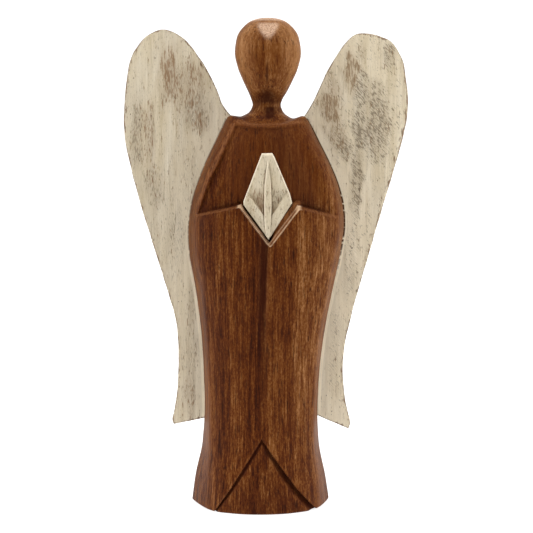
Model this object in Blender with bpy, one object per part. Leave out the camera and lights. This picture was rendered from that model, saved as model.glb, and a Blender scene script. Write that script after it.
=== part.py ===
"""Carved wooden angel figurine, 300 mm tall.

One block of wood is carved into the robe, shoulders, neck and faceless head. The praying hands are a
separate carved kite, set in a socket between the two sleeves. Two plank wings lie on the sawn flat back and
are each held by two round wooden pegs. Lengths are in millimetres here and become metres in each mesh.

Frame: +Z up, the figure faces -Y, +X is on the right as it is looked at from the front. The origin is on
the surface that the figure stands on, under the middle of its bounding box.
"""

import math

import bmesh
import bpy
from mathutils import Matrix, Vector

MM = 0.001

# Driving dimensions
HEIGHT = 300.0
HALF_SPAN = 90.0  # from the middle to each wing's widest point
HALF_DEPTH = 29.5  # the hem and hands reach this far forward, the wings this far back
BACK_FACE = 17.2  # the sawn flat back that the wings lie on
GLUE_GAP = 0.3
WING_FRONT = BACK_FACE + GLUE_GAP
PEG_RADIUS = 4.0
PEG_DEPTH = 12.0  # how far a peg goes into the body
PEG_END_INSET = 0.2
PEG_CHAMFER = 0.5

# Resolution of the solids
RING_POINTS = 36
STATION_STEPS = 2
OUTLINE_STEPS = 4
PEG_SIDES = 24
SHARP_ANGLE = math.radians(40)
CLEAR = 4.0  # how far a cutter stands out of what it cuts

# Cross-sections of the block, from the hem up to the edge of the shoulders:
# height, middle x, half width, y where it is widest, front y, back y, front roundness, back roundness.
# A roundness of 2 is an ellipse, and a higher one is squarer. The middle drifts a little, as it was carved.
ROBE = [
    (0.0, -3.8, 42.8, 3.5, -HALF_DEPTH, 19.0, 2.0, 5.0),
    (16.0, -3.6, 40.5, 3.5, -28.3, 19.0, 2.2, 5.0),
    (38.0, -3.4, 36.2, 3.0, -26.2, 19.0, 2.3, 5.0),
    (60.0, -3.3, 35.4, 2.5, -25.2, 19.0, 2.3, 5.0),
    (80.0, -3.1, 36.1, 2.5, -25.0, 19.0, 2.3, 5.0),
    (104.0, -2.5, 38.1, 2.0, -25.4, 19.0, 2.3, 5.0),
    (132.0, -1.5, 42.4, 2.0, -26.5, 19.0, 2.3, 5.0),
    (156.0, -0.9, 46.8, 2.0, -27.4, 19.0, 2.3, 5.0),
    (172.0, 0.0, 48.2, 2.0, -27.5, 19.0, 2.3, 5.0),
    (186.0, 0.5, 46.9, 2.0, -26.8, 19.0, 2.3, 5.0),
    (198.0, 0.7, 43.7, 1.5, -25.6, 19.0, 2.3, 5.0),
    (212.0, 0.6, 38.1, 1.0, -23.7, 19.0, 2.3, 5.0),
    (225.0, 0.4, 31.8, 0.5, -21.6, 19.0, 2.4, 5.0),
    (234.0, 0.3, 27.6, 0.5, -19.8, 19.0, 2.6, 5.0),
    (240.6, 0.0, 23.8, 0.0, -15.8, 19.0, 2.6, 5.0),
]

# The same, from the edge of the shoulders over the scoop round the neck, and up the egg-shaped head.
CROWN = [
    (240.6, 0.0, 23.8, 0.0, -15.8, 19.0, 2.6, 5.0),
    (239.6, 0.0, 17.5, 0.0, -12.6, 15.5, 2.4, 3.2),
    (240.5, 0.0, 13.2, -0.5, -11.0, 11.8, 2.1, 2.4),
    (243.0, 0.0, 10.3, -1.0, -9.9, 9.6, 2.0, 2.0),
    (247.5, 0.1, 8.6, -1.0, -9.3, 8.5, 2.0, 2.0),
    (251.3, 0.2, 9.7, -1.5, -12.6, 9.0, 2.0, 2.0),
    (255.0, 0.6, 11.6, -2.0, -17.4, 10.4, 2.0, 2.0),
    (262.0, 0.8, 15.1, -3.0, -20.6, 13.4, 2.0, 2.0),
    (269.5, 0.9, 18.3, -3.5, -22.4, 15.4, 2.0, 2.0),
    (278.5, 0.9, 20.2, -4.0, -23.0, 16.0, 2.0, 2.0),
    (287.5, 0.8, 19.0, -4.0, -21.2, 14.8, 2.0, 2.0),
    (294.5, 0.8, 14.8, -3.2, -16.2, 11.4, 2.0, 2.0),
    (298.4, 0.8, 9.8, -2.2, -10.4, 7.0, 2.0, 2.0),
    (HEIGHT, 0.8, 3.0, -0.8, -3.2, 1.6, 2.0, 2.0),
]

# The sunken chest between the arms, as x and z. The sleeves' top edges are its lowest sides.
CHEST_OUTLINE = [
    (-18.8, 233.6),
    (19.4, 233.6),
    (30.0, 211.0),
    (41.4, 179.6),
    (15.8, 187.8),
    (-14.2, 186.4),
    (-41.2, 180.2),
    (-30.0, 209.0),
]
CHEST_TOP = 236.0
SLEEVE_HEIGHT = 176.0
CHEST_CORE_HEIGHTS = (150.0, 241.0)  # the stretch of the robe that the chest's surface is read from
CHEST_SHALLOW = 1.6  # under the front surface at the shoulders
CHEST_DEEP = 5.6  # under the front surface at the sleeves
CHEST_WALL_FRONT = -19.0  # the recess's walls are square to the back up to here, then they flare
SLEEVE_CHAMFER = 2.6
SLEEVE_CHAMFER_LENGTH = 8.0

# The socket that the hands stand in, and the flare of the two cuffs round its lower half.
SOCKET_OUTLINE = [
    (-3.5, 217.4),
    (4.1, 217.4),
    (5.3, 215.2),
    (15.0, 192.8),
    (18.0, 185.6),
    (1.7, 162.8),
    (-14.7, 186.0),
    (-14.5, 189.0),
]
SOCKET_FLOOR = -16.8
CUFF_WALL_FRONT = -23.6
CUFF_CHAMFER = 4.2
CUFF_CHAMFER_LENGTH = 8.0

# The hands: x, y and z of the rim's front edge, the raised strip between the palms, and the heels.
HANDS_BACK = SOCKET_FLOOR - GLUE_GAP
HANDS_RIM = [
    (-2.8, -23.6, 216.5),
    (3.5, -23.6, 216.5),
    (4.4, -23.6, 214.7),
    (13.8, -22.8, 192.5),
    (15.2, -22.6, 187.0),
    (1.3, -23.2, 165.0),
    (-13.6, -22.6, 185.7),
    (-13.6, -22.8, 188.0),
]
HANDS_STRIP = [
    (0.5, -26.0, 212.4),
    (3.4, -HALF_DEPTH, 189.5),
    (3.6, -28.6, 177.5),
    (1.4, -25.8, 168.5),
    (-1.3, -28.6, 176.0),
    (-1.1, -HALF_DEPTH, 189.5),
]
HANDS_HEELS = [(11.6, -24.6, 190.8), (-11.0, -24.6, 192.0)]

# The groove where the robe opens over the hem, up its left side and down its right, as x and z. Its outer
# wall is almost square to the surface, and its inner wall slopes, wider towards the right.
HEM_LEFT = [(-35.5, -4.0), (-32.5, 0.0), (-21.5, 15.0), (-13.0, 28.6), (-2.9, 43.6)]
HEM_RIGHT = [(-2.9, 43.6), (10.6, 24.6), (19.0, 13.2), (31.5, 0.0), (35.0, -4.0)]
HEM_DEPTH = 2.3
HEM_OUTER_WALL = 0.3
HEM_INNER_WALLS = (2.0, 2.8)

# Wing outlines as x and z, from the tip up the outer edge and over the top to the shoulder, then the two
# corners of the hidden inner edge.
LEFT_WING_CURVE = [
    (-60.6, 48.0),
    (-57.5, 66.0),
    (-56.6, 92.0),
    (-58.4, 113.0),
    (-63.5, 131.8),
    (-71.3, 157.4),
    (-79.3, 183.0),
    (-87.0, 213.5),
    (-HALF_SPAN, 237.0),
    (-88.8, 262.0),
    (-82.2, 285.6),
    (-74.5, 293.6),
    (-65.8, 296.9),
    (-56.2, 294.0),
    (-44.0, 281.4),
    (-31.5, 259.2),
    (-27.0, 248.4),
    (-20.0, 240.4),
]
LEFT_WING_TIP = (-59.9, 45.2)
LEFT_WING_INNER = [(-12.0, 229.0), (-14.0, 57.0)]
RIGHT_WING_CURVE = [
    (53.8, 45.6),
    (50.2, 65.0),
    (49.1, 82.0),
    (52.1, 106.0),
    (56.9, 125.4),
    (64.2, 151.0),
    (73.6, 183.0),
    (81.1, 208.4),
    (87.6, 232.5),
    (HALF_SPAN, 253.0),
    (88.0, 268.5),
    (80.0, 287.8),
    (72.4, 292.8),
    (63.0, 294.7),
    (55.6, 293.5),
    (44.0, 280.8),
    (31.4, 256.4),
    (25.0, 244.5),
    (18.5, 236.0),
]
RIGHT_WING_TIP = (52.9, 42.2)
RIGHT_WING_INNER = [(12.5, 228.0), (9.0, 61.5)]
WING_EDGE_ROUND = 1.4

# Peg centres as x and z
PEGS = {
    "peg_left_upper": (-24.0, 206.0),
    "peg_left_lower": (-24.0, 84.0),
    "peg_right_upper": (24.5, 206.0),
    "peg_right_lower": (19.5, 84.0),
}

STAINED_WOOD = ((0.150, 0.052, 0.020), 0.48)
WHITEWASH = ((0.560, 0.480, 0.350), 0.72)
PEG_WOOD = ((0.300, 0.150, 0.065), 0.65)


def clear_scene():
    for obj in list(bpy.data.objects):
        bpy.data.objects.remove(obj)


def material(name, finish):
    colour, roughness = finish
    made = bpy.data.materials.new(name)
    made.use_nodes = True
    shader = made.node_tree.nodes["Principled BSDF"]
    shader.inputs["Base Color"].default_value = (*colour, 1.0)
    shader.inputs["Roughness"].default_value = roughness
    shader.inputs["Metallic"].default_value = 0.0
    return made


def spline(points, steps):
    """Points along a smooth curve through the given ones, with the same number of steps in each stretch."""
    nodes = [Vector(p) for p in points]
    gaps = [math.sqrt((b - a).length) for a, b in zip(nodes, nodes[1:])]
    slopes = [(b - a) / g for a, b, g in zip(nodes, nodes[1:], gaps)]
    tangents = [slopes[0]]
    for i in range(1, len(nodes) - 1):
        before, after = gaps[i - 1], gaps[i]
        tangents.append((slopes[i - 1] * after + slopes[i] * before) / (before + after))
    tangents.append(slopes[-1])
    made = []
    for i, gap in enumerate(gaps):
        for k in range(steps):
            t = k / steps
            made.append(
                nodes[i] * (1 + 2 * t) * (1 - t) ** 2
                + tangents[i] * gap * t * (1 - t) ** 2
                + nodes[i + 1] * t * t * (3 - 2 * t)
                + tangents[i + 1] * gap * t * t * (t - 1)
            )
    return made + [nodes[-1]]


def section_ring(station, points=RING_POINTS):
    """One closed cross-section as (x, y, z), from the front middle round by +X."""
    height, middle, half_width, side_y, front_y, back_y, front_round, back_round = station
    ring = []
    for k in range(points):
        angle = 2 * math.pi * k / points
        across, along = math.sin(angle), math.cos(angle)
        power = 2 / (front_round if along >= 0 else back_round)
        reach = side_y - front_y if along >= 0 else back_y - side_y
        x = middle + half_width * math.copysign(abs(across) ** power, across)
        y = side_y - reach * math.copysign(abs(along) ** power, along)
        ring.append((x, y, height))
    return ring


def robe_station(height):
    """The robe's cross-section values at a height, read between the stations."""
    for low, high in zip(ROBE, ROBE[1:]):
        if height <= high[0]:
            share = (height - low[0]) / (high[0] - low[0])
            return [a + (b - a) * share for a, b in zip(low, high)]
    return list(ROBE[-1])


def front_y(x, height):
    """Where the robe's front surface is at this x and height."""
    _, middle, half_width, side_y, front, _, front_round, _ = robe_station(max(height, 0.0))
    share = min(abs(x - middle) / half_width, 1.0)
    return side_y - (side_y - front) * (1 - share**front_round) ** (1 / front_round)


def add_mesh(name, points, faces):
    """An object with its mesh in metres, from points in millimetres."""
    mesh = bpy.data.meshes.new(name)
    mesh.from_pydata([Vector(p) * MM for p in points], [], faces)
    body = bmesh.new()
    body.from_mesh(mesh)
    bmesh.ops.recalc_face_normals(body, faces=body.faces)
    body.to_mesh(mesh)
    body.free()
    obj = bpy.data.objects.new(name, mesh)
    bpy.context.scene.collection.objects.link(obj)
    return obj


def loft(name, rings):
    """A closed solid through rings that have the same number of points."""
    count = len(rings[0])
    points = [p for ring in rings for p in ring]
    faces = []
    for row in range(len(rings) - 1):
        for k in range(count):
            a = row * count + k
            b = row * count + (k + 1) % count
            faces.append((a, b, b + count, a + count))
    faces.append(tuple(range(count)))
    faces.append(tuple(range(len(points) - count, len(points))))
    return add_mesh(name, points, faces)


def mitre(before, after):
    """The sideways step, to the right of travel, that keeps a line 1 unit away round a corner."""
    first = Vector((before.y, -before.x)).normalized()
    second = Vector((after.y, -after.x)).normalized()
    middle = (first + second).normalized()
    return middle / max(middle.dot(first), 0.4)


def outline_ring(outline, y, grow=0.0):
    """An outline of x and z as a ring at one depth, moved outwards by grow."""
    flat = [Vector(p) for p in outline]
    turn = sum(a.x * b.y - b.x * a.y for a, b in zip(flat, flat[1:] + flat[:1]))
    side = math.copysign(grow, turn)
    ring = []
    for i, point in enumerate(flat):
        moved = point + mitre(point - flat[i - 1], flat[(i + 1) % len(flat)] - point) * side
        ring.append((moved.x, y, moved.y))
    return ring


def cut(target, cutter):
    """Takes the cutter's shape out of the target, and keeps the cutter as a wire guide."""
    cutter.hide_render = True
    cutter.display_type = "WIRE"
    boolean = target.modifiers.new("cut_" + cutter.name, "BOOLEAN")
    boolean.operation = "DIFFERENCE"
    boolean.object = cutter


def box(name, low, high):
    corners = [(x, y, z) for z in (low[2], high[2]) for y in (low[1], high[1]) for x in (low[0], high[0])]
    faces = [(0, 1, 3, 2), (4, 5, 7, 6), (0, 1, 5, 4), (2, 3, 7, 6), (0, 2, 6, 4), (1, 3, 7, 5)]
    return add_mesh(name, corners, faces)


def turned(name, centre, stops):
    """A round piece along Y round an x and z, through (y, radius) stops."""
    turns = [2 * math.pi * k / PEG_SIDES for k in range(PEG_SIDES)]
    rings = []
    for y, radius in stops:
        ring = [(centre[0] + radius * math.cos(t), y, centre[1] + radius * math.sin(t)) for t in turns]
        rings.append(ring)
    return loft(name, rings)


def peg_hole(name, centre, y_low, y_high):
    radius = PEG_RADIUS + GLUE_GAP
    return turned(name, centre, [(y_low, radius), (y_high, radius)])


def make_hem_cutter():
    """A V-shaped cutter that follows the robe's front up one side of the opening and down the other."""
    reach = 1 + CLEAR / HEM_DEPTH
    route = spline(HEM_LEFT, OUTLINE_STEPS) + spline(HEM_RIGHT, OUTLINE_STEPS)[1:]
    rings = []
    for i, point in enumerate(route):
        before = point - route[i - 1] if i else route[1] - point
        after = route[i + 1] - point if i < len(route) - 1 else before
        inwards = mitre(before, after) * reach
        share = i / (len(route) - 1)
        inner_wall = HEM_INNER_WALLS[0] * (1 - share) + HEM_INNER_WALLS[1] * share
        outer = point - inwards * HEM_OUTER_WALL
        inner = point + inwards * inner_wall
        y = front_y(point.x, point.y)
        bottom = (point.x, y + HEM_DEPTH, point.y)
        rings.append([bottom, (outer.x, y - CLEAR, outer.y), (inner.x, y - CLEAR, inner.y)])
    return loft("hem_cutter", rings)


def make_chest_cutter():
    """The space in front of the chest: a flared block, less the chest that stays in it."""
    chamfered = CHEST_WALL_FRONT - SLEEVE_CHAMFER_LENGTH
    cutter = loft(
        "chest_cutter",
        [
            outline_ring(CHEST_OUTLINE, 0.0),
            outline_ring(CHEST_OUTLINE, CHEST_WALL_FRONT),
            outline_ring(CHEST_OUTLINE, chamfered, SLEEVE_CHAMFER),
            outline_ring(CHEST_OUTLINE, -HALF_DEPTH - CLEAR, SLEEVE_CHAMFER),
        ],
    )
    low, high = CHEST_CORE_HEIGHTS
    rings = []
    for station in spline([s for s in ROBE if low < s[0] < high], STATION_STEPS):
        share = min(max((station[0] - SLEEVE_HEIGHT) / (CHEST_TOP - SLEEVE_HEIGHT), 0.0), 1.0)
        depth = CHEST_DEEP + (CHEST_SHALLOW - CHEST_DEEP) * share
        lowered = list(station)
        lowered[2] -= depth / 2
        lowered[4] += depth
        rings.append(section_ring(lowered))
    cut(cutter, loft("chest_core", rings))
    return cutter


def make_socket_cutter():
    """The socket for the hands, with the cuffs' chamfer flaring out of its mouth."""
    floor = outline_ring(SOCKET_OUTLINE, SOCKET_FLOOR)
    wall = outline_ring(SOCKET_OUTLINE, CUFF_WALL_FRONT)
    mouth = outline_ring(SOCKET_OUTLINE, CUFF_WALL_FRONT - CUFF_CHAMFER_LENGTH, CUFF_CHAMFER)
    return loft("socket_cutter", [floor, wall, mouth])


def make_body(finish):
    stations = spline(ROBE, STATION_STEPS) + spline(CROWN, STATION_STEPS)[1:]
    body = loft("body", [section_ring(s) for s in stations])
    body.data.materials.append(finish)
    cut(body, box("back_saw", (-HALF_SPAN, BACK_FACE, -CLEAR), (HALF_SPAN, HALF_DEPTH, HEIGHT + CLEAR)))
    cut(body, make_chest_cutter())
    cut(body, make_socket_cutter())
    cut(body, make_hem_cutter())
    for name, centre in PEGS.items():
        floor = BACK_FACE - PEG_DEPTH - GLUE_GAP
        cut(body, peg_hole(name + "_body_hole", centre, floor, BACK_FACE + CLEAR))
    return body


def make_hands(finish):
    """A kite of flat facets: a back outline, a rim, and a raised strip with a heel on each side of it."""
    back = [(x, HANDS_BACK, z) for x, _, z in HANDS_RIM]
    points = back + HANDS_RIM + HANDS_STRIP + HANDS_HEELS
    count = len(HANDS_RIM)
    rim = range(count, 2 * count)
    top_left, top_right, shoulder, right_upper, right_low, bottom, left_low, left_upper = rim
    apex, strip_right, low_right, foot, low_left, strip_left = range(2 * count, 2 * count + 6)
    heel_right, heel_left = range(2 * count + 6, 2 * count + 8)
    faces = [tuple(range(count))]
    faces += [(k, (k + 1) % count, count + (k + 1) % count, count + k) for k in range(count)]
    faces += [
        (apex, strip_right, low_right, foot, low_left, strip_left),
        (top_left, top_right, apex),
        (top_right, shoulder, apex),
        (shoulder, right_upper, heel_right, strip_right, apex),
        (strip_right, heel_right, low_right),
        (heel_right, right_upper, right_low),
        (heel_right, right_low, bottom, foot, low_right),
        (left_upper, top_left, apex, strip_left, heel_left),
        (strip_left, low_left, heel_left),
        (heel_left, left_low, left_upper),
        (heel_left, low_left, foot, bottom, left_low),
    ]
    hands = add_mesh("praying_hands", points, faces)
    hands.data.materials.append(finish)
    return hands


def make_wing(name, curve, tip, inner, finish):
    outline = [tuple(p) for p in spline(curve, OUTLINE_STEPS)] + inner + [tip]
    rings = [outline_ring(outline, WING_FRONT), outline_ring(outline, HALF_DEPTH)]
    wing = loft(name, rings)
    wing.data.materials.append(finish)
    bevel = wing.modifiers.new("worn_edge", "BEVEL")
    bevel.width = WING_EDGE_ROUND * MM
    bevel.segments = 2
    bevel.limit_method = "ANGLE"
    bevel.angle_limit = SHARP_ANGLE
    for peg, centre in PEGS.items():
        if peg.startswith("peg_" + name.split("_")[0]):
            cut(wing, peg_hole(peg + "_wing_hole", centre, WING_FRONT - CLEAR, HALF_DEPTH + CLEAR))
    return wing


def make_peg(name, centre, finish):
    """A round peg with chamfered ends, from inside the body to just below the wing's back."""
    inner_end = BACK_FACE - PEG_DEPTH
    length = HALF_DEPTH - PEG_END_INSET - inner_end
    stops = [
        (0.0, PEG_RADIUS - PEG_CHAMFER),
        (PEG_CHAMFER, PEG_RADIUS),
        (length - PEG_CHAMFER, PEG_RADIUS),
        (length, PEG_RADIUS - PEG_CHAMFER),
    ]
    peg = turned(name, (0.0, 0.0), stops)
    peg.location = Vector((centre[0], inner_end, centre[1])) * MM
    peg.data.materials.append(finish)
    return peg


def smooth(obj):
    obj.data.shade_smooth()
    obj.data.set_sharp_from_angle(angle=SHARP_ANGLE)


def main():
    clear_scene()
    stained = material("stained_wood", STAINED_WOOD)
    whitewash = material("whitewash", WHITEWASH)
    peg_wood = material("peg_wood", PEG_WOOD)
    figure = bpy.data.objects.new("angel_figurine", None)
    bpy.context.scene.collection.objects.link(figure)
    pieces = [
        make_body(stained),
        make_hands(whitewash),
        make_wing("left_wing", LEFT_WING_CURVE, LEFT_WING_TIP, LEFT_WING_INNER, whitewash),
        make_wing("right_wing", RIGHT_WING_CURVE, RIGHT_WING_TIP, RIGHT_WING_INNER, whitewash),
    ]
    pieces += [make_peg(name, centre, peg_wood) for name, centre in PEGS.items()]
    for piece in pieces:
        piece.parent = figure
        piece.matrix_parent_inverse = Matrix.Identity(4)
        if piece.name != "praying_hands":
            smooth(piece)


main()
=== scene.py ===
"""The looks of the carved wooden angel: its fine surface, materials, studio light and camera.

Every piece is built as a fine mesh from its carving's own shape and stands for its CAD node. Lengths in this
script are in millimetres, in the frame's axes (+Z up, the figure faces -Y), until a mesh is made.
"""

import math

import bmesh
import bpy
import numpy as np
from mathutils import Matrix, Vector


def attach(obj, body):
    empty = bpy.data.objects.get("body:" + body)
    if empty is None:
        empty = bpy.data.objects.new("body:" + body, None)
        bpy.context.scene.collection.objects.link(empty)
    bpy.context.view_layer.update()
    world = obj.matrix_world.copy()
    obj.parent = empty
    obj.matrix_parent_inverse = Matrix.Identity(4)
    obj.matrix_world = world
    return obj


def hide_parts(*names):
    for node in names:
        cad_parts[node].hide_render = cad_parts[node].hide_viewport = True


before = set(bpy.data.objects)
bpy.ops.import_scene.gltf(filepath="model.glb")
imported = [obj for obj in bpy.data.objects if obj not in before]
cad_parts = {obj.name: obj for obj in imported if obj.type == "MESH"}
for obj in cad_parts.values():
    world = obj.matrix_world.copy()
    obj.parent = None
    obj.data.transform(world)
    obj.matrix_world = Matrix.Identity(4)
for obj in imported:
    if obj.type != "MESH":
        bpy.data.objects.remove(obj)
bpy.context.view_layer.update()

MM = 0.001
DRILL_SIDES = 48


# ---- numbers and curves


def smooth(low, high, value):
    """0 below low, 1 above high, and a soft step between them."""
    t = np.clip((value - low) / (high - low), 0.0, 1.0)
    return t * t * (3.0 - 2.0 * t)


def bump(value, centre, width):
    """A bell of height 1."""
    return np.exp(-(((value - centre) / width) ** 2))


def window(value, rise_from, rise_to, fall_from, fall_to):
    """1 between two soft steps, and 0 outside them."""
    return smooth(rise_from, rise_to, value) * smooth(fall_to, fall_from, value)


def hermite(t, start, end, start_slope, end_slope):
    """A cubic curve from start to end as t goes from 0 to 1, with a slope at each end."""
    return (
        start * (1 + 2 * t) * (1 - t) ** 2
        + start_slope * t * (1 - t) ** 2
        + end * t * t * (3 - 2 * t)
        + end_slope * t * t * (t - 1)
    )


def through(points, at):
    """A smooth curve through given (position, value) points, without overshoot, read at positions."""
    places, values = (np.array(v, float) for v in zip(*points))
    gaps = np.diff(places)
    rises = np.diff(values) / gaps
    slopes = np.zeros_like(values)
    slopes[0], slopes[-1] = rises[0], rises[-1]
    for i in range(1, len(values) - 1):
        before, after = rises[i - 1], rises[i]
        if before * after > 0:
            near, far = 2 * gaps[i] + gaps[i - 1], gaps[i] + 2 * gaps[i - 1]
            slopes[i] = (near + far) / (near / before + far / after)
    k = np.clip(np.searchsorted(places, at) - 1, 0, len(gaps) - 1)
    t = np.clip((at - places[k]) / gaps[k], 0.0, 1.0)
    return hermite(t, values[k], values[k + 1], slopes[k] * gaps[k], slopes[k + 1] * gaps[k])


def rough(u, v, seed):
    """Smooth random values from -1 to 1, with one lattice point at each whole u and v."""
    table = np.random.default_rng(seed).uniform(-1.0, 1.0, 4096)
    i, j = np.floor(u).astype(np.int64), np.floor(v).astype(np.int64)
    fu, fv = smooth(0, 1, u - i), smooth(0, 1, v - j)

    def at(a, b):
        return table[(a * 7919 + b * 104729) & 4095]

    low = at(i, j) * (1 - fu) + at(i + 1, j) * fu
    high = at(i, j + 1) * (1 - fu) + at(i + 1, j + 1) * fu
    return low * (1 - fv) + high * fv


def line_distance(start, end, x, z):
    """Distance of (x, z) from the line through two points, positive to the right of travel."""
    dx, dz = end[0] - start[0], end[1] - start[1]
    return ((x - start[0]) * dz - (z - start[1]) * dx) / math.hypot(dx, dz)


def segment_distance(start, end, x, z):
    """Plain distance of (x, z) from the stretch between two points."""
    dx, dz = end[0] - start[0], end[1] - start[1]
    t = np.clip(((x - start[0]) * dx + (z - start[1]) * dz) / (dx * dx + dz * dz), 0, 1)
    return np.hypot(x - start[0] - t * dx, z - start[1] - t * dz)


# ---- meshes


def mesh_object(name, points, faces, marks=None):
    """A mesh object from points in millimetres, with named values for each point that materials read."""
    mesh = bpy.data.meshes.new(name)
    mesh.from_pydata((np.asarray(points, float) * MM).tolist(), [], faces)
    for mark, values in (marks or {}).items():
        layer = mesh.attributes.new(mark, "FLOAT", "POINT")
        layer.data.foreach_set("value", np.clip(values, 0.0, 1.0).astype(np.float32).ravel())
    obj = bpy.data.objects.new(name, mesh)
    bpy.context.scene.collection.objects.link(obj)
    return obj


def sheet_faces(rows, columns, first=0, closed=False):
    """Quads between neighbours of a rows by columns sheet of points. A closed sheet joins its last column on."""
    wide = columns if closed else columns - 1
    r, c = np.meshgrid(np.arange(rows - 1), np.arange(wide), indexing="ij")
    following = (c + 1) % columns
    quads = [r * columns + c, r * columns + following, (r + 1) * columns + following, (r + 1) * columns + c]
    return (np.stack(quads, -1).reshape(-1, 4) + first).tolist()


def finish_mesh(obj, sharp=35):
    """Outward faces, smooth shading and crisp carved edges."""
    work = bmesh.new()
    work.from_mesh(obj.data)
    bmesh.ops.recalc_face_normals(work, faces=work.faces)
    work.to_mesh(obj.data)
    work.free()
    obj.data.shade_smooth()
    obj.data.set_sharp_from_angle(angle=math.radians(sharp))


def tube_faces(rows, columns):
    """The faces of a closed tube of points with a cap at each end."""
    caps = [list(range(columns)), list(range((rows - 1) * columns, rows * columns))]
    return sheet_faces(rows, columns, closed=True) + caps


def drill(obj, centres, radius, y_low, y_high):
    """Takes round holes along Y out of a piece, at (x, z) centres."""
    for n, (x, z) in enumerate(centres):
        turns = np.linspace(0, 2 * math.pi, DRILL_SIDES, endpoint=False)
        ring = np.stack([x + radius * np.cos(turns), 0 * turns, z + radius * np.sin(turns)], -1)
        points = np.concatenate([ring + [0, y_low, 0], ring + [0, y_high, 0]])
        faces = tube_faces(2, DRILL_SIDES)
        cutter = mesh_object(f"{obj.name}_drill_{n}", points, faces)
        finish_mesh(cutter)
        boolean = obj.modifiers.new("drill", "BOOLEAN")
        boolean.operation = "DIFFERENCE"
        boolean.object = cutter
        with bpy.context.temp_override(object=obj, active_object=obj):
            bpy.ops.object.modifier_apply(modifier=boolean.name)
        bpy.data.objects.remove(cutter)


# ---- the block: robe, shoulders, neck and head

BACK_FACE = 17.2
FRONT_COLUMNS = 160
SIDE_COLUMNS = 8
BACK_COLUMNS = 24
ROUND_CORNER = math.radians(122)

# From the hem up: height, middle x, half width, y where it is widest, front y, back y, how square the back is,
# how much lower the front is, and the number of rows up to the next one.
STATIONS = [
    (0, -4.05, 41.95, 3.5, -28.6, 19, 5, 0, 3),
    (1, -4.05, 42.95, 3.5, -29.4, 19, 5, 0, 28),
    (16, -3.95, 40.85, 3.5, -28.3, 19, 5, 0, 42),
    (38, -3.65, 36.45, 3, -26.2, 19, 5, 0, 30),
    (60, -3.3, 35.4, 2.5, -25.2, 19, 5, 0, 16),
    (80, -3.1, 36.1, 2.5, -25, 19, 5, 0, 18),
    (104, -2.5, 38.1, 2, -25.4, 19, 5, 0, 22),
    (132, -1.5, 42.4, 2, -26.5, 19, 5, 0, 28),
    (156, -0.9, 46.8, 2, -27.4, 19, 5, 0, 34),
    (172, 0, 48.2, 2, -27.5, 19, 5, 0, 30),
    (186, 0.5, 46.9, 2, -26.8, 19, 5, 0, 24),
    (198, 0.7, 43.7, 1.5, -25.6, 19, 5, 0, 26),
    (212, 0.6, 38.1, 1, -23.7, 19, 5, 0, 24),
    (225, 0.4, 31.8, 0.5, -21.6, 19, 5, 0.8, 18),
    (234, 0.3, 27.4, 0.5, -19.9, 19, 5, 3, 10),
    (238.6, 0.1, 25, 0.3, -19.2, 19, 5, 5.7, 4),
    (240.1, 0, 23.9, 0, -18.4, 19, 5, 6.5, 3),
    (240.4, 0, 22.6, 0, -17.4, 18.2, 4.6, 6.2, 4),
    (239.5, 0, 19.8, 0, -15.8, 16.8, 3.8, 4.3, 4),
    (239, 0, 17.4, 0, -14.4, 15.2, 3.2, 2.4, 4),
    (239.6, 0, 15, -0.2, -12.9, 13.4, 2.7, 1.1, 4),
    (240.9, 0, 12.5, -0.6, -11.6, 11.6, 2.3, 0, 4),
    (242.3, 0, 10.8, -0.9, -10.6, 10.4, 2.1, 0, 4),
    (244.2, 0, 9.6, -1, -9.9, 9.4, 2, 0, 5),
    (247.6, 0.1, 8.6, -1, -9.4, 8.5, 2, 0, 6),
    (251.3, 0.2, 9.7, -1.5, -11.4, 9, 2, 0, 6),
    (255, 0.6, 11.6, -2, -16.4, 10.4, 2, 0, 9),
    (262, 0.8, 15.1, -3, -20.4, 13.4, 2, 0, 9),
    (269.5, 0.9, 18.3, -3.5, -22.2, 15.4, 2, 0, 10),
    (278.5, 0.9, 20.2, -4, -23, 16, 2, 0, 10),
    (287.5, 0.8, 19, -4, -21.2, 14.8, 2, 0, 9),
    (294.5, 0.8, 14.6, -3.2, -16, 11.4, 2, 0, 7),
    (298.2, 0.8, 9.8, -2.2, -10.2, 7, 2, 0, 5),
    (299.7, 0.8, 5, -1, -5, 3.4, 2, 0, 3),
    (300, 0.8, 0.6, -0.6, -1.2, 0, 2, 0, 1),
]

# How many stations, from the hem up, are the robe's.
ROBE_STATIONS = 16

# Where the edge between the front and each side runs, as a share of the half width at each height.
LEFT_RIDGE = [
    (0, 0.74), (15, 0.76), (42, 0.875), (75, 0.92), (112, 0.90), (142, 0.87), (178, 0.885), (205, 0.89), (240, 0.83)
]
RIGHT_RIDGE = [
    (0, 0.84), (15, 0.87), (42, 0.915), (75, 0.945), (112, 0.916), (142, 0.915), (178, 0.92), (205, 0.92), (240, 0.86)
]
RIDGE_SHARPNESS = [(0, 13), (18, 20), (60, 46), (300, 46)]
FRONT_FLATNESS = 1.10
FACE_FLATNESS = 0.945


def station_rows():
    """The stations read at every row, as one array for each value."""
    marks = np.arange(len(STATIONS), dtype=float)
    steps = [
        np.linspace(i, i + 1, STATIONS[i][-1], endpoint=False) for i in range(len(STATIONS) - 1)
    ]
    at = np.concatenate(steps + [[marks[-1]]])
    return [through(list(zip(marks, values)), at)[:, None] for values in list(zip(*STATIONS))[:-1]]


def robe_width(height):
    """The robe's middle x and its half width at each height."""
    return [through([(s[0], s[k]) for s in STATIONS[:ROBE_STATIONS]], height) for k in (1, 2)]


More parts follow.
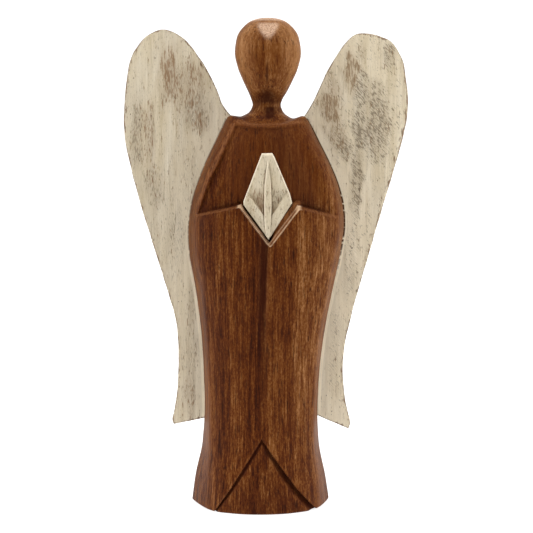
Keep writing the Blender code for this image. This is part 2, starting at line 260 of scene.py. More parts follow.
def column_turns(height, half_width, side_y, back_y, back_round):
    """The direction of each column from the section's middle, from the back middle round by -X."""
    share = np.linspace(-1, 1, FRONT_COLUMNS + 1)
    phase = 0.45 * share * math.pi / 2 + 0.55 * np.arcsin(share)
    front = np.arctan2(42.0 * np.sin(phase), 30.0 * np.cos(phase))[None, :] + 0 * height
    reach = np.clip((BACK_FACE - side_y) / (back_y - side_y), 0, 1)
    corner_x = half_width * (1 - reach**back_round) ** (1 / back_round)
    has_back = (back_y > BACK_FACE + 0.05) & (corner_x >= 1)
    corner = np.where(has_back, math.pi / 2 + np.arctan2(BACK_FACE - side_y, corner_x + 1e-6), ROUND_CORNER)
    side = math.pi / 2 + (corner - math.pi / 2) * np.linspace(0, 1, SIDE_COLUMNS + 1)[None, 1:]
    across = np.linspace(1, 0, BACK_COLUMNS // 2 + 1)[None, 1:]
    flat_back = math.pi / 2 + np.arctan2(BACK_FACE - side_y, corner_x * across)
    round_back = corner + (math.pi - corner) * (1 - across)
    back = np.where(has_back, flat_back, round_back)
    half = np.concatenate([side, back], 1)
    return np.concatenate([-half[:, ::-1][:, 1:], front, half], 1)


def block_surface():
    """The block before its fine carving: x, y and z of each row and column, and the turn of each column."""
    height, middle, half_width, side_y, front_y, back_y, back_round, front_drop = station_rows()
    turn = column_turns(height, half_width, side_y, back_y, back_round)
    out, ahead = np.sin(turn), np.cos(turn)
    front_reach = side_y - front_y
    robe = 1 - smooth(238.0, 241.0, height)
    flatness = 1 + (FRONT_FLATNESS - 1) * robe
    ellipse = np.hypot(out / (half_width * flatness), ahead / front_reach)
    squarish = (np.abs(out / half_width) ** back_round + np.abs(ahead / (back_y - side_y)) ** back_round) ** (
        1 / back_round
    )
    sharpness = np.interp(height, *zip(*RIDGE_SHARPNESS))
    total = np.where(ahead > 0, ellipse, squarish) ** sharpness
    for side, ridge in ((-1, LEFT_RIDGE), (1, RIGHT_RIDGE)):
        share = through(ridge, height)
        ridge_x, ridge_y = share * half_width, front_reach * np.sqrt(1 - (share / FRONT_FLATNESS) ** 2)
        normal_x, normal_y = ridge_y, half_width - ridge_x
        facet = (side * out * normal_x + np.maximum(ahead, 0) * normal_y) / (normal_x * half_width)
        total = total + robe * np.maximum(facet, 0) ** sharpness
    face = window(height, 250.0, 262.0, 290.0, 296.0)
    front = np.maximum(ahead, 0) / (front_reach * FACE_FLATNESS)
    total = total + face * front**sharpness
    radius = total ** (-1 / sharpness)
    widest = (radius * np.abs(out)).max(1, keepdims=True)
    x = middle + radius * out * half_width / widest
    y = np.minimum(side_y - radius * ahead, BACK_FACE)
    z = height - front_drop * smooth(0.15, 1.0, ahead)
    return x, y, z, turn


# The carving on the front, as x and z.
CHEST_TOP = 232.0
LEFT_RIM = [(-18.4, 234.4), (-25.8, 217.9), (-34.2, 201.1), (-41.6, 181)]
RIGHT_RIM = [(19.6, 234.4), (27, 217), (34, 201), (42, 179.6)]
CUFF_BOTTOM = (1.7, 162.9)
LEDGE = [(-60, 176), (-41.2, 180.4), (-15.4, 185.7), CUFF_BOTTOM, (18.7, 185.3), (41.5, 179.6), (60, 174.5)]
CUFF_SPAN = (-17, 20.5)
CUFF_TIPS = (-16.2, 19.4)
HEM_APEX = (-2.9, 44.7)
HEM = [
    (-60, -40), (-31.6, 0), (-22.5, 13.4), (-13, 28.4), HEM_APEX,
    (10.9, 24.4), (19, 13.3), (30.6, 0), (60, -34),
]
# The fold below the hands: its x at each height, and how strong it is there.
FOLD_LINE = [(43, -1.9), (85, -0.7), (120, -0.7), (143, 0.1), (163, 1.0)]
FOLD_STRENGTH = [(50, 0.0), (75, 0.28), (100, 0.45), (125, 0.85), (140, 1.0)]


def polyline_depth(points, x, z):
    """Distance from a chain of stretches, positive above the chain."""
    heights = np.interp(x, [p[0] for p in points], [p[1] for p in points])
    distance = np.min([segment_distance(a, b, x, z) for a, b in zip(points, points[1:])], 0)
    return np.where(z > heights, distance, -distance)


def rim_distance(points, x, z, side):
    """Distance inwards from one of the rims: it is positive inside the chest."""
    edge = np.interp(-z, [-p[1] for p in points], [p[0] for p in points])
    distance = np.min([segment_distance(a, b, x, z) for a, b in zip(points, points[1:])], 0)
    inside = (x > edge) if side < 0 else (x < edge)
    return np.where(inside, distance, -distance)


def chest_cut(x, z, ledge):
    """The sunken chest, the worn edge of the sleeves below it, the cuffs and the socket for the hands, with painted
    shade in the chest and its creases and painted sheen on the edges that face up.
    """
    left, right = rim_distance(LEFT_RIM, x, z, -1), rim_distance(RIGHT_RIM, x, z, 1)
    top = CHEST_TOP + 2.2 * smooth(4, 20, np.abs(x)) + 0.3 * np.sin(x * 0.21 + 1) - z
    from_middle = np.abs(x - 0.5)
    floor = (1.4 + 3.6 * smooth(232, 184, z)) * (0.38 + 0.62 * smooth(44, 22, from_middle))
    chest = smooth(-0.2, 1.2, left) * smooth(-4.0, 6.5, right) * smooth(-0.3, 1.5, top)
    above_ledge = smooth(-0.15, 0.75, ledge + 0.1 * rough(x / 7, z / 7, 3))
    deep = 1 - window(x, CUFF_BOTTOM[0], 5, 19, 22) * smooth(191, 185, z) * smooth(3.6, 2.8, ledge)
    centred = smooth(43, 30, from_middle)
    sunk = chest * above_ledge
    depth = floor * sunk * (0.28 + 0.72 * deep) + 0.4 * bump(ledge, 0.9, 0.8) * chest * centred

    cuff_start, cuff_end = CUFF_SPAN
    in_cuffs = window(x, cuff_start - 1.5, cuff_start + 1, cuff_end - 1, cuff_end + 1.5)
    left_cuff = x < CUFF_BOTTOM[0]
    arm_width = 1.9 + 0.4 * rough(x / 9, z / 9, 5)
    cuff_width = np.where(left_cuff, 1.4, 2.1)
    width = arm_width * (1 - in_cuffs) + cuff_width * in_cuffs
    chamfer = np.clip((ledge + width) / width, 0, 1) * window(x, -43.5, -41, 41, 44) * (ledge < 0.8)
    depth += (1.25 + 0.25 * in_cuffs) * chamfer * (1 - above_ledge)
    socket = smooth(0.1, 1.7, ledge) * in_cuffs * smooth(190, 186, z)
    depth += (1.0 + np.where(left_cuff, 0.8, 1.8 * smooth(178, 168, z))) * socket

    cuff_rim = 0.95 * bump(ledge, 0.35 - cuff_width, 0.32) + 0.5 * bump(ledge, -0.1, 0.3)
    cuff_tips = 0.9 * sum(bump(x, tip, 1.5) for tip in CUFF_TIPS)
    marks = {
        # Painted shade: the chest's floor, its left wall, the crease under the ledge and the place left of the hands
        # are darkened where shade falls, and the left half a little.
        "painted_shade_and_stain": 0.55 * bump(ledge, 0.5, 0.6) * chest * centred * deep
        + 0.30 * sunk * bump(left, 1.5, 3.0) * smooth(215, 190, z)
        + 0.36 * sunk * smooth(2, 14, right) * smooth(-4, 6, x) * deep
        + 0.10 * sunk * smooth(6, -4, x)
        + 0.40 * sunk * bump(x, -11.5, 3.0) * bump(z, 196.0, 12.0)
        + 0.30 * chest * smooth(200, 184, z) * bump(ledge, 1.5, 4.0) * deep,
        # Partly wear, partly painted sheen: the up-facing chamfer under the ledge, the left rim and the top band are
        # painted paler, and the shaded socket beside the hands is painted lighter.
        "wear_and_sheen": smooth(0.0, 0.25, chamfer) * (0.95 - 0.3 * in_cuffs) * (ledge < 0.1)
        + np.where(left_cuff, 0.45, 0.75) * socket * (ledge < 3.5)
        + 1.1 * bump(left, -1.7, 1.3) * smooth(182, 190, z) * (top > -1)
        + 0.95 * bump(top, -1.9, 1.1) * window(x, -21, -17, 19, 23),
        "paint": in_cuffs * (ledge > -cuff_width * 1.05) * (ledge < 0.35) * (z < 189) * (cuff_rim + cuff_tips),
    }
    return depth, marks


def hem_cut(x, z):
    """The sunken panel at the front of the hem, and the V-shaped groove along its sides."""
    hem = -polyline_depth(HEM, x, z)
    low = smooth(47.8, 45.8, z)
    rightward = smooth(-8, 8, x - HEM_APEX[0])
    down = smooth(44, 12, z)
    groove_width = 2.9 + 1.7 * rightward * (0.5 + 0.5 * down) + 0.3 * rough(x / 5, z / 5, 7)
    groove_width = groove_width * (0.55 + 0.45 * smooth(44, 35, z)) * (1 - 0.4 * (1 - rightward) * smooth(14, 3, z))
    groove_depth = (1.6 + 0.9 * rightward) * (0.55 + 0.45 * down)
    groove = np.where(hem > 0, smooth(0.85 * groove_width, 0.4 * groove_width, hem), 0)
    panel = 0.54 * window(hem, 0, 9, 5, 15) + 0.21
    depth = smooth(-0.3, 0.3, hem) * low * (panel + groove_depth * groove)
    marks = {
        # Painted shade in the V groove and on the sunken panel.
        "painted_shade_and_stain": 0.95 * low * (hem > -0.15) * np.maximum(groove * 0.95, bump(hem, 0.5, 0.8))
        + 0.20 * low * smooth(2, 8, hem),
        # A painted highlight along the groove's outer edge, most on the left.
        "wear_and_sheen": 0.4 * bump(hem, -0.5, 0.45) * low * smooth(30, 10, z) * (x < HEM_APEX[0])
        + 0.2 * bump(hem, -0.6, 0.5) * low,
    }
    return depth, marks


def fold_cut(x, z, ledge):
    """The soft fold that runs down from the hands, with a tuck on its left painted dark as shade."""
    offset = x - np.interp(z, *zip(*FOLD_LINE))
    fold = np.interp(z, *zip(*FOLD_STRENGTH)) * (ledge < 0)
    tuck = window(offset, -5.4, -3.0, -0.5, 0.5)
    # Painted shade in the tuck and beside it, with the dark grain streak there, and a painted highlight on the fold's
    # right edge.
    marks = {
        "painted_shade_and_stain": fold * (0.88 * tuck + 0.22 * bump(offset, -2.0, 5.0)),
        "wear_and_sheen": 0.28 * fold * bump(offset, 0.9, 0.7) * smooth(150, 130, z),
    }
    return fold * (0.9 * tuck + 0.55 * bump(offset, -1, 7)), marks


def carve(x, z):
    """How deep the front is cut at x and z, and the marks that its material reads."""
    ledge = polyline_depth(LEDGE, x, z)
    depth, marks = chest_cut(x, z, ledge)
    for more_depth, more_marks in (hem_cut(x, z), fold_cut(x, z, ledge)):
        depth = depth + more_depth
        for name, values in more_marks.items():
            marks[name] = marks[name] + values
    return depth, marks


LEFT_SHOULDER_RISE = 1.2
BACK_TOP = 240.2
HEAD_BOTTOM = 249.0
HEAD_RISE = (250.0, 262.0)
HEAD_MIDDLE = 0.8
FACE_MIDDLE = 0.4
# The facets planed off the head: a point on each, the way it faces, and how soft its edges are.
HEAD_FACETS = [
    ((0.8, -17.6, 291.5), (0, -0.80, 0.60), 0.5),
    ((-15.6, -15.4, 283.0), (-0.66, -0.66, 0.3), 0.9),
    ((17.2, -15.4, 283.0), (0.66, -0.66, 0.3), 0.9),
]


def shave(points, centre, normal, softness):
    """Planes a shallow facet off a carving: what stands past the plane is pushed back to it."""
    direction = np.array(normal, float)
    direction /= np.linalg.norm(direction)
    past = (points - np.array(centre)) @ direction
    pushed = softness * np.logaddexp(0, np.clip(past / softness, -40, 40))
    return points - pushed[:, None] * direction


def tool_marks(x, y, z):
    """The waves and small flats that chisels leave, in millimetres outwards."""
    long_cuts = 0.16 * rough(x / 6.0 + y / 9, z / 38, 11) + 0.12 * rough(x / 2.6, z / 60, 12)
    return long_cuts + 0.3 * rough(x / 22, z / 55, 13) + 0.05 * rough(x / 1.6 + z / 9, z / 7, 14)


def ridge_wear_and_sheen(x, y, z):
    """How rubbed the long edges between the front and the sides are, and how much painted sheen they get where they
    face the side lights. The left one is rubbed less at the chest.
    """
    middle, half = robe_width(z)
    left = bump(x, middle - half * through(LEFT_RIDGE, z) - 1.2, 3.0 + 3.0 * smooth(160, 130, z))
    right = bump(x, middle + half * through(RIGHT_RIDGE, z) + 1.2, 3.0)
    worn = (left * smooth(188, 176, z) + right) * (y < 8)
    return 0.55 * worn * (0.6 + 0.5 * rough(x / 3, z / 30, 21))


def stains_and_chin_shade(x, y, z):
    """Painted shade under the chin, where the stain has run together at the throat and down the middle of the face,
    and the neck a little darker.
    """
    under_chin = bump(x, FACE_MIDDLE, 6.2 - 3.0 * smooth(251, 257, z)) * window(z, 247.0, 248.8, 252, 258)
    throat = bump(x, 2.1, 3.0) * window(z, 236.4, 239.5, 244.4, 246.0)
    face_line = bump(x, FACE_MIDDLE, 0.7) * window(z, 257, 261, 266, 274)
    return (0.95 * under_chin + 1.4 * throat + 0.95 * face_line) * (y < 0) + 0.04 * window(z, 239, 243, 250, 262)


def pale_stain_and_light_tone(x, y, z):
    """Painted light, partly thinner stain: the lit sides and top of the head, the neck, and the right side of the
    robe.
    """
    in_head = smooth(*HEAD_RISE, z)
    from_middle = np.abs(x - HEAD_MIDDLE)
    sides = smooth(6, 19, from_middle)
    head = 0.36 + 0.68 * sides + 0.1 * smooth(266, 282, z) + 0.9 * smooth(286, 297, z) - 0.06 * smooth(8, 18, x)
    temples = 0.26 * smooth(270, 284, z) * smooth(2.5, 7, from_middle) * smooth(15, 9, from_middle)
    # The neck is painted lighter against the shade under the head.
    neck = 0.45 * smooth(238, 241, z) + 0.3 * bump(z, 246.3, 1.1) * bump(x, 5.0, 4.0)
    # The right side of the robe gets a painted sheen.
    right_side = 0.30 * smooth(6, 26, x) * window(z, 70, 120, 174, 184)
    beside_chest = 0.22 * smooth(26, 34, x) * window(z, 176, 184, 200, 222)
    low_right = 0.22 * smooth(2, 12, x) * window(z, 8, 20, 96, 112)
    robe = (right_side + beside_chest + low_right) * (y < 10)
    return in_head * head + temples + (1 - in_head) * (neck + robe)


def calm_tone(x, z):
    """Where the grain shows least: the chest most of all, then the head, the shoulders and the waist."""
    in_head = smooth(*HEAD_RISE, z)
    chest = window(z, 188, 192, 233, 236) * window(x, -34, -2, 28, 38)
    shoulders = smooth(180, 188, z) * (1 - in_head)
    return 0.90 * chest + 0.68 * in_head + 0.35 * shoulders + 0.22 * window(z, 60, 100, 180, 186)


def polish_and_highlight_tone(x, y, z):
    """A painted highlight, partly stain rubbed right off: the facet of the forehead and the top of the head."""
    half = 1.6 + 4.6 * smooth(283, 293, z)
    forehead = smooth(half + 1.6, half - 2.0, np.abs(x - 0.9)) * window(z, 282.5, 287.5, 293.6, 295.8) * (y < -5)
    return 0.95 * forehead + 0.95 * smooth(295.6, 298.2, z)


def make_block():
    """The carved block: its surface, then the cuts in its front, the tool marks and the head's facets."""
    x, y, z, turn = block_surface()
    facing = smooth(84, 70, np.degrees(np.abs(turn)))
    depth, marks = carve(x, z)
    robe = smooth(239.5, 237.5, z)
    y = y + depth * facing * robe
    z = z + LEFT_SHOULDER_RISE * bump(x, -15.5, 5.5) * window(z, 234.0, 238.5, 242.0, 247.0)
    on_back = (y >= BACK_FACE - 0.01) & (z < BACK_TOP)
    push = np.where(on_back, 0.0, tool_marks(x, y, z)) * window(z, 0.0, 2.0, 296, 299)
    push = push * (1 - 0.6 * smooth(238, 243, z))
    x, y = x + np.sin(turn) * push, y - np.cos(turn) * push
    points = np.stack([x, y, z], -1).reshape(-1, 3)
    head = points[:, 2] > HEAD_BOTTOM
    for facet in HEAD_FACETS:
        points[head] = shave(points[head], *facet)

    marks = {name: (np.clip(values, 0, 1) * facing * robe).ravel() for name, values in marks.items()}
    px, py, pz = points.T
    # Painted sheen on the long edges, painted shade under the chin among the stains, painted light on the head, neck
    # and robe, and a painted highlight on the forehead and crown.
    marks["wear_and_sheen"] += ridge_wear_and_sheen(px, py, pz) * robe.ravel()
    marks["painted_shade_and_stain"] += stains_and_chin_shade(px, py, pz)
    marks["pale_stain_and_light"] = pale_stain_and_light_tone(px, py, pz)
    marks["calm"] = calm_tone(px, pz)
    marks["polish_and_highlight"] = polish_and_highlight_tone(px, py, pz)
    block = mesh_object("carved_block", points, tube_faces(*turn.shape), marks)
    finish_mesh(block)
    return block


# ---- the wings

WING_FRONT = 17.5
WING_BACK = 29.5
PEG_RADIUS = 4.0
PEG_GAP = 0.25
PEG_SIDES = 64
PEGS = {
    "peg_left_upper": (-24.0, 206.0),
    "peg_left_lower": (-24.0, 84.0),
    "peg_right_upper": (24.5, 206.0),
    "peg_right_lower": (19.5, 84.0),
}

# Each wing's outline as x and z: its rim from the low tip up the outer edge and over the top to the shoulder,
# its hidden inner edge going down, and its sloping bottom. The corner is the rim's point where the top begins.
# Then how much light is painted on the wash beside the body, where the block shades it, how much paler the wash is
# low down, and how the rasp strokes lean, in degrees.
LEFT_WING = {
    "rim": [
        (-59.9, 45.2), (-60.6, 48.2), (-59.4, 54.5), (-57.5, 66.5), (-56.6, 84), (-56.8, 100), (-58.2, 112.5),
        (-63.5, 131.8), (-71.3, 157.4), (-79.3, 183), (-84.4, 202.1), (-88.7, 221.1), (-90.5, 234), (-90.5, 243),
        (-88.9, 264), (-86.3, 277.2), (-81.9, 286), (-75.2, 293.2), (-65.8, 296.9), (-56.6, 294.2), (-50.2, 289.4),
        (-44, 281.4), (-37.6, 271.5), (-31.5, 259.2), (-27.9, 249.9), (-24.4, 244.9), (-19.5, 240), (-12, 229),
    ],
    "corner": 15,
    "inner": [(-12, 229), (-13, 140), (-14, 57)],
    "bottom": [(-14, 57), (-38, 49.6), (-59.9, 45.2)],
    "painted_light_near_body": 0.45,
    "paler_low_down": 0.25,
    "lean": 0,
}
RIGHT_WING = {
    "rim": [
        (52.9, 42.2), (53.9, 45.6), (51.8, 55.8), (49.9, 67), (49, 80), (49.9, 93.5), (52.1, 106),
        (56.9, 125.4), (64.2, 151), (73.6, 183), (81.1, 208.4), (86.5, 227.4), (89.3, 242), (89.9, 254),
        (88.5, 266.5), (85.8, 278.4), (79.5, 288.4), (72.4, 292.8), (63, 294.7), (56.3, 293.8), (50.2, 288.9),
        (44, 280), (37.7, 269.4), (31.4, 255.2), (26.5, 246.2), (23.6, 241.9), (18.5, 236), (12.5, 228),
    ],
    "corner": 15,
    "inner": [(12.5, 228), (11, 140), (9, 61.5)],
    "bottom": [(9, 61.5), (33, 50.8), (52.9, 42.2)],
    "painted_light_near_body": 0.5,
    "paler_low_down": 0.45,
    "lean": 40,
}
# Worn patches as x, z, half width, half height, how brown and how grey.
LEFT_PATCHES = [
    (-61.5, 266, 7, 17, 1, 0),
    (-64, 276, 3, 10, 0.8, 0),
    (-55, 260, 12, 15, 0.65, 0.5),
    (-45, 266, 8, 11, 0.7, 0.4),
    (-45, 244, 9, 13, 0.3, 0.75),
    (-42, 238, 4, 6, 0.7, 0.3),
    (-75, 231, 4.5, 17, 0.6, 0.6),
    (-82, 232, 5, 20, 0.2, 0.85),
    (-74, 248, 3.5, 6, 0.6, 0.2),
    (-72, 197, 5, 14, 0.3, 0.7),
    (-47, 200, 8, 24, 0, 0.5),
    (-57, 168, 6, 26, 0, 0.65),
    (-49, 92, 5, 34, 0.2, 0.6),
    (-50, 64, 5, 14, 0.45, 0.6),
]
RIGHT_PATCHES = [
    (53.5, 272, 5.5, 13, 1, 0.15),
    (60, 281, 3.5, 8, 0.3, 0.6),
    (41, 249, 7, 17, 1, 0.2),
    (45, 231, 6, 9, 0.55, 0.6),
    (50, 222, 6, 9, 0.1, 0.9),
    (60, 248, 5, 26, 0, 1.1),
    (70, 240, 10, 22, 0.1, 1),
    (59.5, 234, 4, 13, 0, 1.9),
    (69, 219, 8, 9, 0, 0.75),
    (77.5, 280, 4, 7, 0.15, 0.8),
    (58, 204, 4, 17, 0.15, 1.6),
    (56.5, 180, 3.5, 16, 0, 0.8),
    (54, 150, 5, 28, 0, 0.55),
    (44, 95, 4.5, 34, 0, 0.4),
]
LINE_STEPS = 40
ROUND_STEPS = 4
WING_ROWS = 230
WING_COLUMNS = 76
# The joint mark holds the distance from the body: 0.5 at the body, and 1 half of this far out, in millimetres.
JOINT_RANGE = 20.0
FAR_FROM_BODY = 50.0
SHOULDER_TOP = 241.0
# The camera's height, and how much larger it sees the block than the wings' faces behind it.
CAMERA_HEIGHT = 180.0
BLOCK_SEEN_LARGER = 1.023


def smooth_line(points):
    """A fine line along a smooth curve through given points."""
    knots = np.array(points, float)
    gaps = np.sqrt(np.linalg.norm(np.diff(knots, axis=0), axis=1))
    slopes = np.diff(knots, axis=0) / gaps[:, None]
    middle = (slopes[:-1] * gaps[1:, None] + slopes[1:] * gaps[:-1, None]) / (gaps[:-1] + gaps[1:])[:, None]
    tangents = np.concatenate([slopes[:1], middle, slopes[-1:]])
    fine = []
    for a, b, ta, tb, gap in zip(knots, knots[1:], tangents, tangents[1:], gaps):
        t = np.linspace(0, 1, LINE_STEPS, endpoint=False)[:, None]
        fine.append(hermite(t, a, b, ta * gap, tb * gap))
    return np.concatenate(fine + [knots[-1:]])


def evenly(line, count):
    """Evenly spaced points along a line."""
    length = np.concatenate([[0], np.cumsum(np.linalg.norm(np.diff(line, axis=0), axis=1))])
    even = np.linspace(0, length[-1], count)
    return np.stack([np.interp(even, length, line[:, i]) for i in range(2)], -1)


def inset_loop(loop, amount):
    """A closed loop of x and z moved inwards by an amount at each point."""
    ahead, behind = np.roll(loop, -1, 0) - loop, loop - np.roll(loop, 1, 0)
    along = ahead / np.linalg.norm(ahead, axis=1)[:, None] + behind / np.linalg.norm(behind, axis=1)[:, None]
    along /= np.linalg.norm(along, axis=1)[:, None]
    area = np.sum(loop[:, 0] * np.roll(loop[:, 1], -1) - np.roll(loop[:, 0], -1) * loop[:, 1])
    inward = np.stack([-along[:, 1], along[:, 0]], -1) * math.copysign(1, area)
    return loop + inward * np.asarray(amount)[:, None], inward


def patch_grid(loop, rows, columns):
    """A grid of points filling a loop of four sides: up the first, across the second, down and back."""
    first = loop[:rows]
    second = loop[rows - 1 : rows + columns - 1]
    third = loop[rows + columns - 2 : 2 * rows + columns - 2][::-1]
    fourth = np.concatenate([loop[2 * rows + columns - 3 :], loop[:1]])[::-1]
    v = np.linspace(0, 1, rows)[:, None, None]
    u = np.linspace(0, 1, columns)[None, :, None]
    return (
        (1 - u) * first[:, None]
        + u * third[:, None]
        + (1 - v) * fourth[None]
        + v * second[None]
        - (1 - u) * (1 - v) * loop[0]
        - (1 - u) * v * second[0]
        - u * (1 - v) * third[0]
        - u * v * second[-1]
    )


def beside_body(x, z):
    """Distance of a point on a wing's face from the line where the block hides it, seen from the front."""
    middle, half = robe_width(CAMERA_HEIGHT + (z - CAMERA_HEIGHT) / BLOCK_SEEN_LARGER)
    gap = np.abs(x - middle * BLOCK_SEEN_LARGER) - half * BLOCK_SEEN_LARGER
    return np.where(z < SHOULDER_TOP + 0.5, gap, FAR_FROM_BODY)


def wing_border():
    """The numbers of the points round a wing's grid, in the order of its outline."""
    numbers = np.arange(WING_ROWS * WING_COLUMNS).reshape(WING_ROWS, WING_COLUMNS)
    return np.concatenate([numbers[:-1, 0], numbers[-1, :-1], numbers[:0:-1, -1], numbers[0, :0:-1]])


def edge_rings(loop, face_loop, inward, radius, seed):
    """The rings of points round a wing's edge: a rounding, a sawn side and the rounding to the back."""
    front, side, back = [], [], []
    for turn in np.linspace(0, math.pi / 2, ROUND_STEPS + 1)[1:]:
        flat = face_loop - inward * (radius * math.sin(turn))[:, None]
        drop = radius * (1 - math.cos(turn))
        front.append(np.stack([flat[:, 0], WING_FRONT + drop, flat[:, 1]], -1))
        back.append(np.stack([flat[:, 0], WING_BACK - drop, flat[:, 1]], -1))
    for share in (0.2, 0.4, 0.6, 0.8):
        y = WING_FRONT + radius + (WING_BACK - WING_FRONT - 2 * radius) * share
        chatter = 0.12 * rough(loop[:, 0] / 2.2, loop[:, 1] / 2.2 + share * 9, seed + 9)
        flat = loop + inward * (0.1 + chatter)[:, None]
        side.append(np.stack([flat[:, 0], y, flat[:, 1]], -1))
    return front + side + back[::-1]


def worn_patches(outline, patches, x, z, seed):
    """How far a wing's wash is rubbed through to brown and to grey, and how deep the rasp went there."""
    lean = math.radians(outline["lean"])
    across = x * math.cos(lean) + z * math.sin(lean)
    along = z * math.cos(lean) - x * math.sin(lean)
    brown, grey = 0 * x, 0 * x
    for patch_x, patch_z, wide, tall, how_brown, how_grey in patches:
        reach = np.hypot((x - patch_x) / wide, (z - patch_z) / tall)
        reach = reach + 0.35 * rough(across / 3.5, along / 12, seed + 3)
        brown = np.maximum(brown, how_brown * smooth(1.45, 0.35, reach))
        grey = np.maximum(grey, how_grey * smooth(1.5, 0.35, reach))
    return brown, grey, np.maximum(brown, grey) * (0.12 + 0.14 * rough(across / 1.3, along / 4.0, seed + 7))


def bead_and_lightening(outline, x, z, seed):
    """A bead of thick wash at the robe, painted light softly beside the body where the block shades the wing, and a
    paler wash low down.
    """
    ragged = np.clip(0.6 + 0.7 * rough(x * 0 + 1, z / 6, seed + 21), 0, 1)
    bead_and_light = bump(beside_body(x, z), 0.8, 1.1) * smooth(175, 140, z) * ragged
    # Painted light: the wash is made paler beside the body, where the block's shade falls on the wing.
    near = outline["painted_light_near_body"] * bump(beside_body(x, np.minimum(z, SHOULDER_TOP)), 0, 13) * smooth(256, 238, z)
    return np.maximum(np.maximum(bead_and_light, near), outline["paler_low_down"] * smooth(165, 120, z))


def make_wing(name, outline, patches, seed, edge_round, edge_wear):
    """A plank wing: a face, a rounded worn edge and a back, from the four sides of its outline."""
    rim, corner = smooth_line(outline["rim"]), LINE_STEPS * outline["corner"]
    sides = [
        evenly(rim[: corner + 1], WING_ROWS),
        evenly(rim[corner:], WING_COLUMNS),
        evenly(smooth_line(outline["inner"]), WING_ROWS),
        evenly(smooth_line(outline["bottom"]), WING_COLUMNS),
    ]
    loop = np.concatenate([side[:-1] for side in sides])
    loop, _ = inset_loop(loop, 0.18 * rough(loop[:, 0] / 6, loop[:, 1] / 6, seed))
    radius = edge_round(loop[:, 0], loop[:, 1])
    face_loop, inward = inset_loop(loop, radius)
    x, z = np.moveaxis(patch_grid(face_loop, WING_ROWS, WING_COLUMNS), -1, 0)
    inside = np.min(np.hypot(x[..., None] - loop[::6, 0], z[..., None] - loop[::6, 1]), -1) - radius.min()

    brown, grey, rasped = worn_patches(outline, patches, x, z, seed)
    relief = 0.22 + 0.10 * rough(x / 1.7, z / 26, seed + 5) + 0.10 * rough(x / 9, z / 40, seed + 6) + rasped
    back_relief = 0.2 + 0.12 * rough(x / 2.2, z / 30, seed + 15) + 0.12 * rough(x / 12, z / 34, seed + 16)
    relief, back_relief = (np.maximum(depth, 0) * smooth(0.0, 1.6, inside) for depth in (relief, back_relief))
    face, back = np.stack([x, WING_FRONT + relief, z], -1), np.stack([x, WING_BACK - back_relief, z], -1)
    rings = edge_rings(loop, face_loop, inward, radius, seed)
    points = np.concatenate([face.reshape(-1, 3), back.reshape(-1, 3), *rings])

    count, border = WING_ROWS * WING_COLUMNS, wing_border()
    ring_points = np.arange(2 * count, len(points)).reshape(len(rings), -1)
    chain = [border, *ring_points, count + border]
    faces = sheet_faces(WING_ROWS, WING_COLUMNS) + sheet_faces(WING_ROWS, WING_COLUMNS, first=count)
    for a, b in zip(chain, chain[1:]):
        faces += np.stack([a, np.roll(a, -1), np.roll(b, -1), b], -1).tolist()

    near_edge = smooth(1.0, 0.3, inside / (0.9 + edge_wear(x, z)))
    face_edge = near_edge * (0.45 + 0.25 * edge_wear(x, z) / 3 + 0.4 * rough(x / 4, z / 7, seed + 18))
    side_worn = np.full(len(rings), 0.75)
    side_worn[[0, -1]] = 0.55
    side_worn = [
        worn + 0.35 * rough(loop[:, 0] / 4 + k * 3, loop[:, 1] / 4, seed + 17) for k, worn in enumerate(side_worn)
    ]
    back_worn = 0.35 + 0.3 * rough(x / 9, z / 30, seed + 19)
    around, nowhere = np.zeros(ring_points.size), 0 * x
    parts = {
        "brown": (brown, 0.5 * back_worn, around),
        "grey": (grey, back_worn, around),
        "edge": (face_edge, 0.6 * near_edge, side_worn),
        "bead_and_light": (bead_and_lightening(outline, x, z, seed), nowhere, around),
        "joint": (0.5 + beside_body(x, z) / JOINT_RANGE, nowhere, around + 1),
    }
    marks = {mark: np.concatenate([np.ravel(values) for values in part]) for mark, part in parts.items()}
    wing = mesh_object(name, points, faces, marks)
    finish_mesh(wing, sharp=50)
    return wing


# ---- the hands

HANDS_LEFT, HANDS_RIGHT, HANDS_POINT = (-13.7, 185.8), (15.3, 187), (1.3, 165)
HANDS_OUTLINE = [
    (-2.8, 216.4), (3.4, 216.5), (4.5, 214.7), (13.9, 192.5), HANDS_RIGHT, HANDS_POINT, HANDS_LEFT, (-13.7, 188)
]
HANDS_CENTRE = (1.0, 189.5)
HANDS_RIM = -23.1
HANDS_SIDE = -22.6
HANDS_BACK = -17.1
HANDS_RINGS = 46
HANDS_SPOKES = 220
SKIRT_RINGS = 6
STRIP_CENTRE = 0.8
WRIST_WIDTH = 6.2


